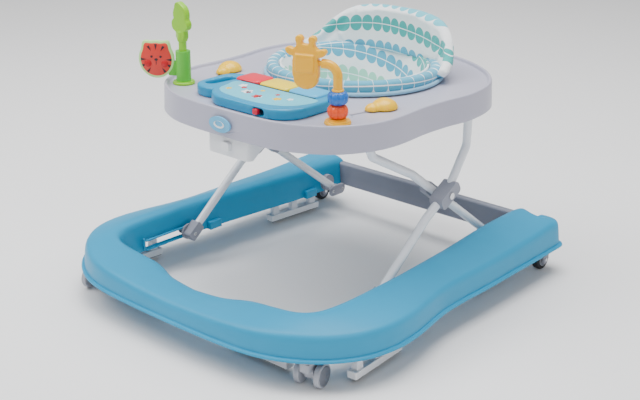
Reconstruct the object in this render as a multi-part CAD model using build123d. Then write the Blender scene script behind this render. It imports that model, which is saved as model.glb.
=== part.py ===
from build123d import *
from math import atan2, copysign, cos, degrees, hypot, radians, sin, tan
import os

os.makedirs("parts", exist_ok=True)

# A folding baby walker: a wheeled U-shaped base, a crossed tube frame, and a tray with a seat and toys.
# Millimetres, +Z up, the front of the walker towards -Y, the floor at Z = 0.

# Base: half of its plan, from the middle of the front, round the arm, back to the inner front edge.
BASE_HALF = [(0, -360), (80, -359), (154, -355), (208, -345), (258, -322), (300, -287), (331, -240),
             (344, -183), (341, -126), (331, -73), (323, -28), (320, 20), (320, 100), (317, 190),
             (315, 265), (310, 312), (296, 343), (262, 359), (229, 351), (214, 325), (210, 280),
             (213, 180), (223, 80), (232, 0), (237, -60), (239, -120), (240, -180), (238, -222),
             (226, -250), (202, -262), (163, -260), (128, -257), (100, -259), (76, -268), (44, -276), (0, -278)]
BASE_LOW = 50
BASE_TOP = 110
BASE_DRAFT = 4
BASE_WALL = 3
BASE_LIP = 5
CROWN_ROUND = 6
STOPPER_LENGTH = 130
# Crown of the base: height against distance from the middle, and against position along the length.
CROWN_ACROSS = [(0, 82), (70, 84), (130, 92), (190, 104), (235, 109), (265, 107), (305, 99), (350, 90)]
CROWN_ALONG = [(-364, 85), (-330, 90), (-290, 97), (-240, 104), (-190, 108), (-100, 109), (364, 109)]

# Crossed frame, seen from the side: every height and length below is at the tubes' centre lines.
TUBE_R = 7.5
TUBE_WALL = 1.2
LEG_A_X = 200
LEG_B_X = 224
PIVOT_Z = 62.5
REAR_PIVOT_Y = 276
SLIDER_Y = -93
HUB_Y = (REAR_PIVOT_Y + SLIDER_Y) / 2
HUB_Z = 200.6
ARM = hypot(REAR_PIVOT_Y - HUB_Y, HUB_Z - PIVOT_Z)
REST_ANGLE = degrees(atan2(HUB_Z - PIVOT_Z, REAR_PIVOT_Y - HUB_Y))
LATCH_Y = SLIDER_Y
LATCH_Z = 2 * HUB_Z - PIVOT_Z
TRAY_PIVOT_Y = 152
TRAY_PIVOT_Z = 340
SLOT_TRAVEL = 2 * (ARM - (REAR_PIVOT_Y - HUB_Y))
PIN_R = 3
RUN = 0.05
OUTLINE_SPANS = 12

# Tray: half of its plan, front middle to rear middle.
TRAY_HALF = [(0, -218), (70, -217), (135, -206), (198, -169), (234, -112), (243, -60), (239, 10),
             (241, 65), (248, 132), (232, 207), (184, 269), (117, 310), (50, 330), (0, 333)]
TRAY_LOW = 330
TRAY_FLOOR = 370
TRAY_RIM = 376
TRAY_SKIN = 3
RIM_WIDTH = 8
SKIRT_LEAN = 2

# Seat: an oval ring with a pocket under it and an arched back.
SEAT_Y = 110
SEAT_RX = 162
SEAT_RY = 155
SEAT_ROLL = 24
SEAT_TOP = 397
SEAT_FLOOR = 262
BACK_TOP = 476
BACK_RX = 174
BACK_RY = 142

# Wheels.
WHEEL_R = 20
FRONT_CASTER = (262, -298)
FRONT_TURN = 12
REAR_CASTER = (277, 318)
TRAIL = 12
STEM_R = 5
SIDES = {"left": -1, "right": 1}

# Toys.
GIRAFFE = (179, -137)
GIRAFFE_Z = 464
TREE = (-179, -137)
PLATE_TURN = 35
SLIDER_TOY = (180, -27)
SLIDER_SLANT = 15
SLIDER_REACH = 60
PANEL_TOP = 389
PANEL_BODY = (25, -123, 200, 148)
PANEL_CORNER = 50
KEYS = {"key_red": (-60, 54), "key_yellow": (2, 66), "key_blue": (69, 64)}
KEY_Y = -80
KEY_DEPTH = 46


def save(name, *solids):
    """Write one node; several separate solids go into one file."""
    shape = solids[0] if len(solids) == 1 else Compound(children=list(solids))
    export_step(shape, f"parts/{name}.step")


def both(points):
    """A half outline with its mirror image, as one closed run of points."""
    return points + [(-x, y) for x, y in reversed(points) if x > 0]


def outline(points, z, inset=0):
    """A smooth closed face through the points at height z, drawn in by the inset."""
    ring = both(points)
    drawn = []
    for here, (x, y) in enumerate(ring):
        x0, y0 = ring[here - 1]
        x1, y1 = ring[(here + 1) % len(ring)]
        run = hypot(x1 - x0, y1 - y0)
        drawn.append((x - inset * (y1 - y0) / run, y + inset * (x1 - x0) / run))
    whole = Spline(*drawn, periodic=True)
    spans = [whole.trim(k / OUTLINE_SPANS, (k + 1) / OUTLINE_SPANS) for k in range(OUTLINE_SPANS)]
    return Pos(0, 0, z) * make_face(spans)


def tapered(points, z0, z1, inset0, inset1):
    """A body between two inset copies of an outline."""
    return loft([outline(points, z0, inset0), outline(points, z1, inset1)])


def slab(profile, low, span, plane):
    """A body whose upper side follows a height profile, drawn on the plane and pushed both ways."""
    top = Spline(*profile)
    ends = Polyline(profile[-1], (profile[-1][0], low), (profile[0][0], low), profile[0])
    return extrude(plane * make_face(top.edges() + ends.edges()), span, both=True)


def rod_x(radius, x0, x1, y, z):
    """A round bar along X."""
    return Pos((x0 + x1) / 2, y, z) * Rot(0, 90, 0) * Cylinder(radius, abs(x1 - x0))


def post(radius, z0, z1, x, y):
    """A round bar along Z."""
    return Pos(x, y, (z0 + z1) / 2) * Cylinder(radius, z1 - z0)


def block(x0, x1, y0, y1, z0, z1):
    """A box given by its limits."""
    return Pos((x0 + x1) / 2, (y0 + y1) / 2, (z0 + z1) / 2) * Box(abs(x1 - x0), y1 - y0, z1 - z0)


def bar(path, radius):
    """A round bar along a path."""
    return sweep(Plane(origin=path @ 0, z_dir=path % 0) * Circle(radius), path=path)


def ellipse_at(rx, ry, z):
    """An oval face round the seat's centre."""
    return Pos(0, SEAT_Y, z) * Ellipse(rx, ry)


def one_side(shape, side):
    """A shape drawn for the right-hand side, or its mirror image for the left."""
    return shape if side > 0 else mirror(shape, Plane.YZ)


def base_block(inset):
    """The base as a filled body, or the space under its skin when inset."""
    lean = (BASE_TOP - BASE_LOW) * tan(radians(BASE_DRAFT))
    low = BASE_LOW - inset
    body = tapered(BASE_HALF, low, BASE_TOP, BASE_LIP + inset, BASE_LIP + inset + lean)
    across = [(-x, z - inset) for x, z in reversed(CROWN_ACROSS)] + [(x, z - inset) for x, z in CROWN_ACROSS[1:]]
    along = [(y, z - inset) for y, z in CROWN_ALONG]
    body = body & slab(across, BASE_LOW - 10, 400, Plane.XZ)
    body = body & slab(along, BASE_LOW - 10, 400, Plane.YZ)
    if inset:
        return body
    return fillet(body.edges().filter_by(lambda e: e.center().Z > BASE_LOW + 20), CROWN_ROUND)


def make_base():
    """The open-bottomed base shell with its lip, caster bosses, guide slots and rear pivot holes."""
    filled = base_block(0)
    cavity = base_block(BASE_WALL)
    plan = outline(BASE_HALF, BASE_LOW)
    lip = extrude(plan - outline(BASE_HALF, BASE_LOW, BASE_LIP + 1), BASE_WALL)
    shell = filled - cavity + lip
    for side in SIDES.values():
        for x, y in (FRONT_CASTER, REAR_CASTER):
            shell = shell + (post(13, BASE_LOW + 2, BASE_TOP, side * x, y) & filled)
            shell = shell - post(8, BASE_LOW, 80, side * x, y)
        slot = block(225, 262, SLIDER_Y - SLOT_TRAVEL - 2, SLIDER_Y + 2, PIVOT_Z - 6.4, PIVOT_Z + 6.4)
        slot = slot + rod_x(6.4, 225, 262, SLIDER_Y - SLOT_TRAVEL - 2, PIVOT_Z)
        slot = slot + rod_x(6.4, 225, 262, SLIDER_Y + 2, PIVOT_Z)
        shell = shell - one_side(slot, side)
        shell = shell - one_side(rod_x(4, 190, 226, REAR_PIVOT_Y, PIVOT_Z), side)
    save("base_shell", shell)

    bushes = [post(8, BASE_LOW, 80, side * x, y) - post(STEM_R + RUN, BASE_LOW, 76, side * x, y)
              for side in SIDES.values() for x, y in (FRONT_CASTER, REAR_CASTER)]
    save("caster_bushes", *bushes)

    beam = block(-232, 232, 320, 338, 51, 98)
    beam = fillet(beam.edges().filter_by(Axis.X), 4) - filled - lip
    save("rear_crossbar", max(beam.solids(), key=lambda s: s.volume))

    pins = []
    brackets = []
    for side in SIDES.values():
        pin = rod_x(4, 191, 226, REAR_PIVOT_Y, PIVOT_Z) + rod_x(7, 187.5, 191, REAR_PIVOT_Y, PIVOT_Z)
        pins.append(one_side(pin, side))
        plate = rod_x(17, 208.5, 222, REAR_PIVOT_Y, PIVOT_Z + 5) - rod_x(4, 200, 226, REAR_PIVOT_Y, PIVOT_Z)
        brackets.append(one_side(max((plate - filled - lip).solids(), key=lambda s: s.volume), side))
    save("rear_pivot_pins", *pins)
    save("rear_brackets", *brackets)
    return cavity


def make_stoppers(cavity):
    """Six friction stoppers: a channel on three tapered posts, with a rubber pad under it."""
    places = {"front": (145, -282, 0), "side_front": (299, -180, 95), "side_rear": (247, 208, 95)}
    wide = 18
    pads = []
    for name, (x, y, turn) in places.items():
        brackets = []
        for side in SIDES.values():
            place = Pos(side * x, y, 0) * Rot(0, 0, side * turn)
            beam = Pos(0, 0, 15) * Box(STOPPER_LENGTH, wide, 12)
            beam = fillet(beam.edges().filter_by(Axis.Z), 2) - Pos(0, 0, 21) * Box(STOPPER_LENGTH - 5, wide - 5, 12)
            for end in (-1, 0, 1):
                foot = Pos(end * STOPPER_LENGTH * 0.38, 0, 14) * Rectangle(17, 12)
                head = Pos(end * STOPPER_LENGTH * 0.38, 0, 60) * Rectangle(10, 8)
                beam = beam + loft([foot, head])
                beam = beam + Pos(end * STOPPER_LENGTH * 0.38, 0, 83) * Box(10, 8, 46)
            beam = place * beam
            low = block(-400, 400, -400, 400, 0, BASE_LOW + 1)
            beam = beam & (cavity + low)
            brackets.append(max(beam.solids(), key=lambda s: s.volume))
            pads.append(place * Pos(0, 0, 8) * Box(STOPPER_LENGTH - 4, wide - 3, 2))
        save(f"stoppers_{name}", *brackets)
    save("stopper_pads", *pads)


def make_casters():
    """Twin-wheel swivel casters in front, single tyred casters behind."""
    for word, side in SIDES.items():
        x, y = FRONT_CASTER
        x = side * x
        axle_y = y + TRAIL
        swivel = Pos(x, y) * Rot(0, 0, FRONT_TURN) * Pos(-x, -y)
        fork = post(STEM_R, 40, 76, x, y) + post(11, 43, 49, x, y)
        cheek = block(x - 8, x + 8, y - 11, axle_y + 9, 30, 44) + rod_x(9, x - 8, x + 8, axle_y, WHEEL_R)
        cheek = cheek + block(x - 8, x + 8, axle_y - 9, axle_y + 9, WHEEL_R, 32)
        fork = fork + cheek - rod_x(PIN_R, x - 20, x + 20, axle_y, WHEEL_R)
        save(f"fork_front_{word}", swivel * fork)
        save(f"axle_front_{word}", swivel * rod_x(PIN_R, x - 25, x + 25, axle_y, WHEEL_R))
        wheels = []
        for way in (-1, 1):
            wheel = rod_x(WHEEL_R, x + way * 13, x + way * 23, axle_y, WHEEL_R)
            wheel = fillet(wheel.edges(), 2) - rod_x(PIN_R + RUN, x - 40, x + 40, axle_y, WHEEL_R)
            spacer = rod_x(6, x + way * 8.3, x + way * 13, axle_y, WHEEL_R)
            wheels.append(swivel * (wheel + spacer - rod_x(PIN_R + RUN, x - 40, x + 40, axle_y, WHEEL_R)))
        save(f"wheels_front_{word}", *wheels)

        x, y = REAR_CASTER
        x = side * x
        axle_y = y + TRAIL
        fork = post(STEM_R, 42, 76, x, y) + post(12, 43.5, 49, x, y)
        fork = fork + block(x - 12, x + 12, y - 10, axle_y + 8, 41.5, 45.5)
        for way in (-1, 1):
            cheek = block(x + way * 9, x + way * 12, axle_y - 8, axle_y + 8, WHEEL_R, 44)
            fork = fork + cheek + rod_x(8, x + way * 9, x + way * 12, axle_y, WHEEL_R)
        fork = fork - rod_x(PIN_R, x - 20, x + 20, axle_y, WHEEL_R)
        save(f"fork_rear_{word}", fork)
        save(f"axle_rear_{word}", rod_x(PIN_R, x - 13.5, x + 13.5, axle_y, WHEEL_R))
        hub = rod_x(13, x - 8, x + 8, axle_y, WHEEL_R) - rod_x(PIN_R + RUN, x - 9, x + 9, axle_y, WHEEL_R)
        save(f"wheel_rear_{word}", hub)
        tyre = rod_x(WHEEL_R, x - 7, x + 7, axle_y, WHEEL_R) - rod_x(13, x - 9, x + 9, axle_y, WHEEL_R)
        outer = tyre.edges().filter_by(GeomType.CIRCLE).filter_by(lambda e: e.radius > 15)
        save(f"tyre_rear_{word}", fillet(outer, 3))


def leg_paths():
    """Centre lines of the two tubes of the right-hand cross, lower end first."""
    slope = (HUB_Z - PIVOT_Z) / (REAR_PIVOT_Y - HUB_Y)
    low_a = (LEG_A_X, REAR_PIVOT_Y, PIVOT_Z)
    kink_a = (LEG_A_X, 30, PIVOT_Z + (REAR_PIVOT_Y - 30) * slope)
    leg_a = FilletPolyline(low_a, kink_a, (LEG_A_X, -76, 304), (LEG_A_X, LATCH_Y, LATCH_Z),
                           (1, LATCH_Y, LATCH_Z), radius=14)
    low_b = (LEG_B_X, SLIDER_Y, PIVOT_Z)
    leg_b = FilletPolyline(low_b, (LEG_B_X, 40, 170), (LEG_B_X, 100, 205.5), (LEG_B_X, 150, 275),
                           (LEG_B_X, TRAY_PIVOT_Y, TRAY_PIVOT_Z + 6), radius=22)
    return leg_a, leg_b


def make_frame():
    """The crossed tubes, the saddles and rivet at each hub, and the sliding feet."""
    path_a, path_b = leg_paths()
    rod_a = bar(path_a, TUBE_R) + Pos(LEG_A_X, REAR_PIVOT_Y, PIVOT_Z) * Sphere(TUBE_R)
    rod_b = bar(path_b, TUBE_R)
    tube_a = rod_a - bar(path_a, TUBE_R - TUBE_WALL) - rod_x(4 + RUN, 180, 220, REAR_PIVOT_Y, PIVOT_Z)
    tube_a = tube_a - rod_x(PIN_R + RUN, 180, 220, HUB_Y, HUB_Z)
    tube_b = rod_b - bar(path_b, TUBE_R - TUBE_WALL) - rod_x(PIN_R, 200, 240, HUB_Y, HUB_Z)
    tube_b = tube_b - rod_x(PIN_R + RUN, 200, 240, TRAY_PIVOT_Y, TRAY_PIVOT_Z)
    hub = Pos(0, HUB_Y, HUB_Z)
    lean_a = Rot(-REST_ANGLE, 0, 0)
    lean_b = Rot(30, 0, 0)
    for word, side in SIDES.items():
        save(f"leg_a_{word}", one_side(tube_a, side))
        save(f"leg_b_{word}", one_side(tube_b, side))
        inner = hub * lean_a * Pos(LEG_A_X - 7, 0, 0) * Box(13.4, 46, 22)
        inner = fillet(inner.edges().filter_by(Axis.X), 7) - rod_a - rod_x(PIN_R + RUN, 180, 220, HUB_Y, HUB_Z)
        save(f"hub_inner_{word}", one_side(inner, side))
        outer = hub * lean_b * Pos(LEG_B_X + 0.5, 0, 0) * Box(27, 54, 23)
        outer = fillet(outer.edges().filter_by(Axis.X), 7) - rod_b
        outer = outer - rod_x(PIN_R, 190, 250, HUB_Y, HUB_Z)
        save(f"hub_outer_{word}", one_side(outer, side))
        rivet = rod_x(PIN_R, 186, 239, HUB_Y, HUB_Z) + rod_x(6, 183.5, 186, HUB_Y, HUB_Z)
        rivet = rivet + rod_x(6, 238, 240.5, HUB_Y, HUB_Z)
        save(f"hub_rivet_{word}", one_side(rivet, side))
        foot = Pos(LEG_B_X, SLIDER_Y, PIVOT_Z) * Rot(38, 0, 0) * Pos(0, 5, 0) * Box(19, 34, 20)
        foot = fillet(foot.edges().filter_by(Axis.X), 4) + rod_x(15, 232, 236, SLIDER_Y, PIVOT_Z)
        foot = foot + rod_x(6, 232, 251, SLIDER_Y, PIVOT_Z) + rod_x(8, 250.6, 253, SLIDER_Y, PIVOT_Z)
        save(f"sliding_foot_{word}", one_side(foot - rod_b, side))
    sleeve = rod_x(9, -60, 60, LATCH_Y, LATCH_Z) - rod_x(TUBE_R, -70, 70, LATCH_Y, LATCH_Z)
    save("latch_sleeve", sleeve)


def latch_track():
    """Path of the latch tube in the tray while the frame folds flat: points (y, z) at rest height."""
    up_y = TRAY_PIVOT_Y - HUB_Y
    up_z = TRAY_PIVOT_Z - HUB_Z
    points = []
    for step in range(-1, 8):
        turn = radians(step * REST_ANGLE / 7)
        lean = radians(REST_ANGLE) - turn
        reach_y = up_y * cos(turn) + up_z * sin(turn)
        reach_z = up_z * cos(turn) - up_y * sin(turn)
        points.append((TRAY_PIVOT_Y - reach_y - ARM * cos(lean), TRAY_PIVOT_Z - reach_z + ARM * sin(lean)))
    return points


def back_edge(inset):
    """Plan of the backrest's outside, a rounded-square arc, drawn in by the inset."""
    points = []
    for step in range(-8, 9):
        turn = radians(step * 9.5)
        reach_x = copysign(abs(sin(turn)) ** 0.75, sin(turn))
        points.append(((BACK_RX - inset) * reach_x, SEAT_Y + (BACK_RY - inset) * cos(turn) ** 0.75))
    return points


def make_tray():
    """The tray with its skirt and rim, the latch housing under it and the rear pivot blocks."""
    tray = tapered(TRAY_HALF, TRAY_LOW, TRAY_RIM, 0, SKIRT_LEAN)
    tray = tray - tapered(TRAY_HALF, TRAY_LOW - 1, TRAY_FLOOR - TRAY_SKIN, TRAY_SKIN, TRAY_SKIN + SKIRT_LEAN)
    tray = tray - extrude(outline(TRAY_HALF, TRAY_FLOOR, RIM_WIDTH), 10)
    for side in SIDES.values():
        x, y = SLIDER_TOY
        slot = Pos(side * x, y, TRAY_FLOOR) * Rot(0, 0, -side * SLIDER_SLANT)
        slot = slot * Pos(0, 4 - SLIDER_REACH / 2, 0) * Box(5, SLIDER_REACH + 18, 20)
        tray = tray - slot
    tray = tray - extrude(ellipse_at(SEAT_RX - 20, SEAT_RY - 20, TRAY_LOW), 60)
    save("tray_top", tray)

    ring = extrude(ellipse_at(SEAT_RX, SEAT_RY, TRAY_FLOOR), SEAT_TOP - TRAY_FLOOR)
    ring = ring - extrude(ellipse_at(SEAT_RX - SEAT_ROLL, SEAT_RY - SEAT_ROLL, TRAY_FLOOR), 60)
    save("seat_ring", fillet(ring.edges().filter_by(GeomType.ELLIPSE), 7))
    mouth_x = SEAT_RX - SEAT_ROLL - 0.3
    mouth_y = SEAT_RY - SEAT_ROLL - 0.3
    pocket = loft([ellipse_at(mouth_x - 46, mouth_y - 46, SEAT_FLOOR), ellipse_at(mouth_x, mouth_y, 362)])
    pocket = pocket + extrude(ellipse_at(mouth_x, mouth_y, 362), SEAT_TOP - 6 - 362)
    scoop = loft([ellipse_at(mouth_x - 50, mouth_y - 50, SEAT_FLOOR + 4), ellipse_at(mouth_x - 4, mouth_y - 4, 364)])
    scoop = scoop + extrude(ellipse_at(mouth_x - 4, mouth_y - 4, 364), 60)
    pocket = pocket - scoop
    for side in SIDES.values():
        leg_hole = Pos(side * 46, SEAT_Y - 90, 304) * Rot(80, 0, 0) * Cylinder(32, 100)
        pocket = pocket - leg_hole
    save("seat_pocket", pocket)
    outer = Spline(*back_edge(0))
    inner = Spline(*reversed(back_edge(SEAT_ROLL)))
    plan = make_face([outer, Line(outer @ 1, inner @ 0), inner, Line(inner @ 1, outer @ 0)])
    back = extrude(Pos(0, 0, SEAT_TOP) * plan, BACK_TOP - SEAT_TOP)
    arch = [(140, SEAT_TOP + 2), (165, SEAT_TOP + 5), (189, 414), (205, 432), (220, 448), (235, 463), (252, BACK_TOP)]
    back = back & slab(arch, SEAT_TOP - 1, 200, Plane.YZ)
    save("seat_back", back)

    housing = block(-48, 48, -206, -78, 293, TRAY_FLOOR - TRAY_SKIN)
    housing = fillet(housing.edges().filter_by(Axis.Z), 8)
    housing = housing - block(-44, 44, -202, -70, 280, TRAY_FLOOR - TRAY_SKIN - 4)
    housing = housing - swept_room(latch_track(), 9.6)
    housing = housing - block(-9.2, 9.2, -210, -195, 303.8, 318.2)
    save("latch_housing", max(housing.solids(), key=lambda s: s.volume))
    button = block(-9, 9, -213, -196, 304, 318)
    save("latch_button", fillet(button.edges().filter_by(Axis.Y), 3))

    blocks = []
    pins = []
    for side in SIDES.values():
        clevis = block(212, 236, 140, 164, 328, TRAY_FLOOR - TRAY_SKIN)
        clevis = clevis - block(216, 232, 130, 174, 320, 353) - rod_x(PIN_R, 200, 240, TRAY_PIVOT_Y, TRAY_PIVOT_Z)
        blocks.append(one_side(clevis, side))
        pins.append(one_side(rod_x(PIN_R, 211, 237, TRAY_PIVOT_Y, TRAY_PIVOT_Z), side))
    save("tray_pivot_blocks", *blocks)
    save("tray_pivot_pins", *pins)

    badge = Pos(0, -220.4, 351) * Rot(90, 0, 0) * extrude(Ellipse(24, 13), 3)
    save("badge", badge - tray)


def swept_room(track, radius):
    """The room a tube along X needs over and under a track of (y, z) points."""
    roof = []
    for (y0, z0), (y1, z1) in zip(track, track[1:]):
        run = hypot(y1 - y0, z1 - z0)
        roof.append(((y0 + y1) / 2 + radius * (z1 - z0) / run, (z0 + z1) / 2 - radius * (y1 - y0) / run))
    walls = Polyline(roof[-1], (roof[-1][0], 250), (roof[0][0], 250), roof[0])
    room = extrude(Plane.YZ * make_face(Spline(*roof).edges() + walls.edges()), 70, both=True)
    return room + rod_x(radius, -70, 70, *track[1])


def make_panel():
    """The play panel: a case with a carrying loop, three keys and a power switch."""
    x, y, width, depth = PANEL_BODY
    plan = Pos(x, y) * RectangleRounded(width, depth, PANEL_CORNER)
    grip = Pos(-88, -122) * RectangleRounded(70, 104, 30)
    finger_gap = Pos(-98, -124) * Rot(0, 0, -8) * RectangleRounded(22, 60, 9)
    case = extrude(Pos(0, 0, TRAY_FLOOR) * (plan + grip), PANEL_TOP - TRAY_FLOOR)
    case = fillet(case.faces().sort_by(Axis.Z)[-1].edges(), 4)
    case = case - extrude(Pos(0, 0, TRAY_FLOOR) * finger_gap, 60)
    room = Pos(x, y) * RectangleRounded(width - 8, depth - 8, PANEL_CORNER - 4)
    case = case - extrude(Pos(0, 0, TRAY_FLOOR) * room, PANEL_TOP - TRAY_FLOOR - 4)
    for name, (key_x, key_width) in KEYS.items():
        case = case - Pos(key_x, KEY_Y, PANEL_TOP) * Box(key_width + 0.6, KEY_DEPTH + 0.6, 30)
        key = Pos(key_x, KEY_Y, PANEL_TOP - 2) * Box(key_width, KEY_DEPTH, 8)
        save(name, fillet(key.edges().filter_by(Axis.Z), 5))
    front = y - depth / 2
    case = case - block(50, 74, front - 2, front + 5, 373.2, 384)
    save("panel_case", case)
    base_plan = Pos(x, y) * RectangleRounded(width - 8.4, depth - 8.4, PANEL_CORNER - 4.2)
    save("panel_base", extrude(Pos(0, 0, TRAY_FLOOR) * base_plan, 3))
    switch = block(52, 62, front - 2, front + 4.5, 374, 383)
    save("power_switch", fillet(switch.edges().filter_by(Axis.Y), 2))


def bead(radius, z0, z1, x, y):
    """A round-sided bead with a bore."""
    body = fillet(post(radius, z0, z1, x, y).edges(), (z1 - z0) * 0.42)
    return body - post(6 + RUN, z0 - 5, z1 + 5, x, y)


def make_toys():
    """The giraffe on its bent arm with two beads, the tree with its spinning animal, and two sliding bugs."""
    x, y = GIRAFFE
    base = post(20, TRAY_FLOOR, 376, x, y) + post(14, TRAY_FLOOR, 379, x, y)
    turn = radians(200)
    reach = (cos(turn), sin(turn))
    arm_end = (x + 26 * reach[0], y + 26 * reach[1], GIRAFFE_Z)
    path = FilletPolyline((x, y, 423), (x, y, GIRAFFE_Z), arm_end, radius=20)
    arm = base + post(6, 378, 424, x, y) + bar(path, 7.5)
    pin_end = (x + 40 * reach[0], y + 40 * reach[1], GIRAFFE_Z)
    arm = arm + bar(Line(arm_end, pin_end), 4)
    save("giraffe_arm", arm)
    save("bead_orange", bead(17, 379.3, 400.9, x, y))
    save("bead_blue", bead(17, 401.3, 422.3, x, y))
    face = Pos(0, -6) * RectangleRounded(44, 50, 16) + Pos(0, -24) * Ellipse(20, 16) + Pos(0, 18) * Ellipse(22, 14)
    for way in (-1, 1):
        face = face + Pos(way * 26, 19) * Rot(0, 0, way * 30) * Ellipse(9, 6)
        face = face + Pos(way * 11, 32) * Rectangle(8, 12) + Pos(way * 11, 39) * Circle(6.5)
    head = extrude(Plane.XZ * face, 6, both=True) + Pos(0, 0, 2) * Box(32, 20, 28)
    head = Pos(x + 53 * reach[0], y + 53 * reach[1], GIRAFFE_Z - 3) * Rot(0, 0, 20) * head
    bore = Line(arm_end, (x + 40.5 * reach[0], y + 40.5 * reach[1], GIRAFFE_Z))
    room = Line((x, y, GIRAFFE_Z), (x + 26.4 * reach[0], y + 26.4 * reach[1], GIRAFFE_Z))
    head = head - bar(bore, 4 + RUN) - bar(room, 9) - bar(path, 7.8)
    save("giraffe_head", max(head.solids(), key=lambda s: s.volume))

    x, y = TREE
    save("tree_post", post(18, TRAY_FLOOR, 375, x, y) + post(7, TRAY_FLOOR, 452, x, y))
    leaf = Pos(0, -20) * Ellipse(11, 14) + Pos(-9, -4) * Circle(12) + Pos(9, -2) * Circle(11)
    leaf = leaf + Pos(0, 14) * Ellipse(16, 19) + Pos(-4, 28) * Circle(8)
    crown = Pos(x, y, 477) * extrude(Plane.XZ * leaf, 6, both=True)
    save("tree_crown", crown + post(9, 444, 462, x, y) - post(7, 430, 452, x, y))
    sleeve = post(13, 375.2, 428, x, y)
    plate = Pos(-47, 0, 412) * Rot(90, 0, 0) * Cylinder(31, 6) + block(-26, -8, -3, 3, 384, 410)
    spinner = sleeve + Pos(x, y) * Rot(0, 0, PLATE_TURN) * plate
    save("animal_spinner", spinner - post(7 + RUN, 370, 440, x, y))

    for word, side in SIDES.items():
        x, y = SLIDER_TOY
        dome = Pos(0, 3, 371) * scale(Sphere(1), (22, 23, 17)) + Pos(0, -21, 371) * scale(Sphere(1), (13, 13, 12))
        dome = dome - Box(120, 120, 742.4)
        neck = block(-2.3, 2.3, -9, 9, 363, 373)
        keeper = block(-8, 8, -12, 12, 362, 366.6)
        toy = Pos(side * x, y, 0) * Rot(0, 0, -side * SLIDER_SLANT) * (dome + neck + keeper)
        save(f"slider_toy_{word}", toy)


under_base = make_base()
make_stoppers(under_base)
make_casters()
make_frame()
make_tray()
make_panel()
make_toys()
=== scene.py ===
import math

import bpy
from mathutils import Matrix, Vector


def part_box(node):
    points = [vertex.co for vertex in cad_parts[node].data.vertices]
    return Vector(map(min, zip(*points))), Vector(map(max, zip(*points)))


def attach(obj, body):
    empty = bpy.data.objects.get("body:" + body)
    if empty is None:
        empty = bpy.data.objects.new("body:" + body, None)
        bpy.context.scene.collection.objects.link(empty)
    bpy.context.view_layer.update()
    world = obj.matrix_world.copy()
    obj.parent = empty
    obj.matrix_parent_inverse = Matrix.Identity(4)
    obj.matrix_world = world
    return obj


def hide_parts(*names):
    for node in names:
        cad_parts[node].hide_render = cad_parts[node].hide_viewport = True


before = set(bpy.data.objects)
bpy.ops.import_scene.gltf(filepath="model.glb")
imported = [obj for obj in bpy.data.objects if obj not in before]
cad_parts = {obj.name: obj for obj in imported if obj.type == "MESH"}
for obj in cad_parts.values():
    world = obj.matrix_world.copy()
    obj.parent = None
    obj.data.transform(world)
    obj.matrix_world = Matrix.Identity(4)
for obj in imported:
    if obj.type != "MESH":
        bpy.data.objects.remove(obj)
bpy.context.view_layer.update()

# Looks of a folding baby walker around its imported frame. Metres, +Z up, the front towards -Y.
MM = 0.001

# ---- sizes that several pieces share, in millimetres unless they come from the frame ----
SEAT_Y = 110
SEAT_RX = 160
TRAY_FLOOR = 370
TRAY_WALL = 3
PANEL_TOP = 389
TRAY_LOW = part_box("tray_top")[0].z / MM
TRAY_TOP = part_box("tray_top")[1].z / MM
BASE_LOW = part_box("base_shell")[0].z / MM
PIVOT_Z = 62.5
SLIDER_Y = -93
SLOT_TRAVEL = 92
REAR_PIVOT_Y = 276
REAR_PIVOT_Z = 58
TOY_X = 179
TOY_Y = -137
PLATE_TURN = 35
FRONT_CASTER_TURN = 12
MOUTH_Z = 392
POCKET_DEEP = 128
POCKET_TAPER = 47
LEG_HOLE_X = 46
LEG_HOLE_Z = 304
LEG_HOLE_RADIUS = 32
BACK_RX = 173
BACK_RY = 141
BACK_LOW = 383
BACK_POWER = 0.75

# Half of the tray's outline, front middle to rear middle.
TRAY_HALF = [(0, -218), (70, -217), (135, -206), (198, -169), (234, -112), (243, -60), (239, 10),
             (241, 65), (248, 132), (232, 207), (184, 269), (117, 310), (50, 330), (0, 333)]
# Stations round the right half of the base: outer edge, inner edge, and the heights of the outer crest,
# the ridge and the inner crest.
BASE_STATIONS = [((0, -360), (0, -281), 81, 83, 81), ((80, -359), (60, -276), 83, 85, 84),
                 ((154, -355), (108, -261), 87, 92, 88), ((208, -345), (158, -263), 90, 98, 95),
                 ((258, -322), (205, -264), 92, 102, 102), ((300, -287), (230, -250), 92, 105, 105),
                 ((331, -240), (241, -220), 92, 107, 107), ((344, -183), (243, -176), 91, 108, 107),
                 ((341, -126), (242, -122), 90, 108, 107), ((331, -73), (241, -70), 90, 108, 107),
                 ((323, -28), (238, -24), 91, 108, 107), ((320, 30), (233, 30), 92, 107, 106),
                 ((320, 100), (226, 100), 92, 106, 105), ((317, 190), (217, 190), 93, 107, 106),
                 ((315, 265), (214, 265), 96, 110, 107), ((313, 312), (213, 312), 99, 110, 107)]


# ---------------------------------------------------------------- meshes
def srgb(red, green, blue):
    """A linear colour from 0-255 display values."""
    def linear(value):
        value = value / 255
        return value / 12.92 if value <= 0.04045 else ((value + 0.055) / 1.055) ** 2.4
    return (linear(red), linear(green), linear(blue), 1)


def mesh_piece(name, points, faces, material, body, smooth=True):
    """An object from points in millimetres, riding on a CAD body."""
    mesh = bpy.data.meshes.new(name)
    mesh.from_pydata([Vector(p) * MM for p in points], [], faces)
    mesh.validate()
    mesh.update()
    piece = bpy.data.objects.new(name, mesh)
    bpy.context.scene.collection.objects.link(piece)
    mesh.polygons.foreach_set("use_smooth", [smooth] * len(mesh.polygons))
    mesh.materials.append(material)
    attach(piece, body)
    return piece


def grid_faces(rows, columns, close_rows, close_columns):
    """Quads of a grid whose points run row by row."""
    faces = []
    for r in range(rows if close_rows else rows - 1):
        for c in range(columns if close_columns else columns - 1):
            r1 = (r + 1) % rows
            c1 = (c + 1) % columns
            faces.append((r * columns + c, r * columns + c1, r1 * columns + c1, r1 * columns + c))
    return faces


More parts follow.
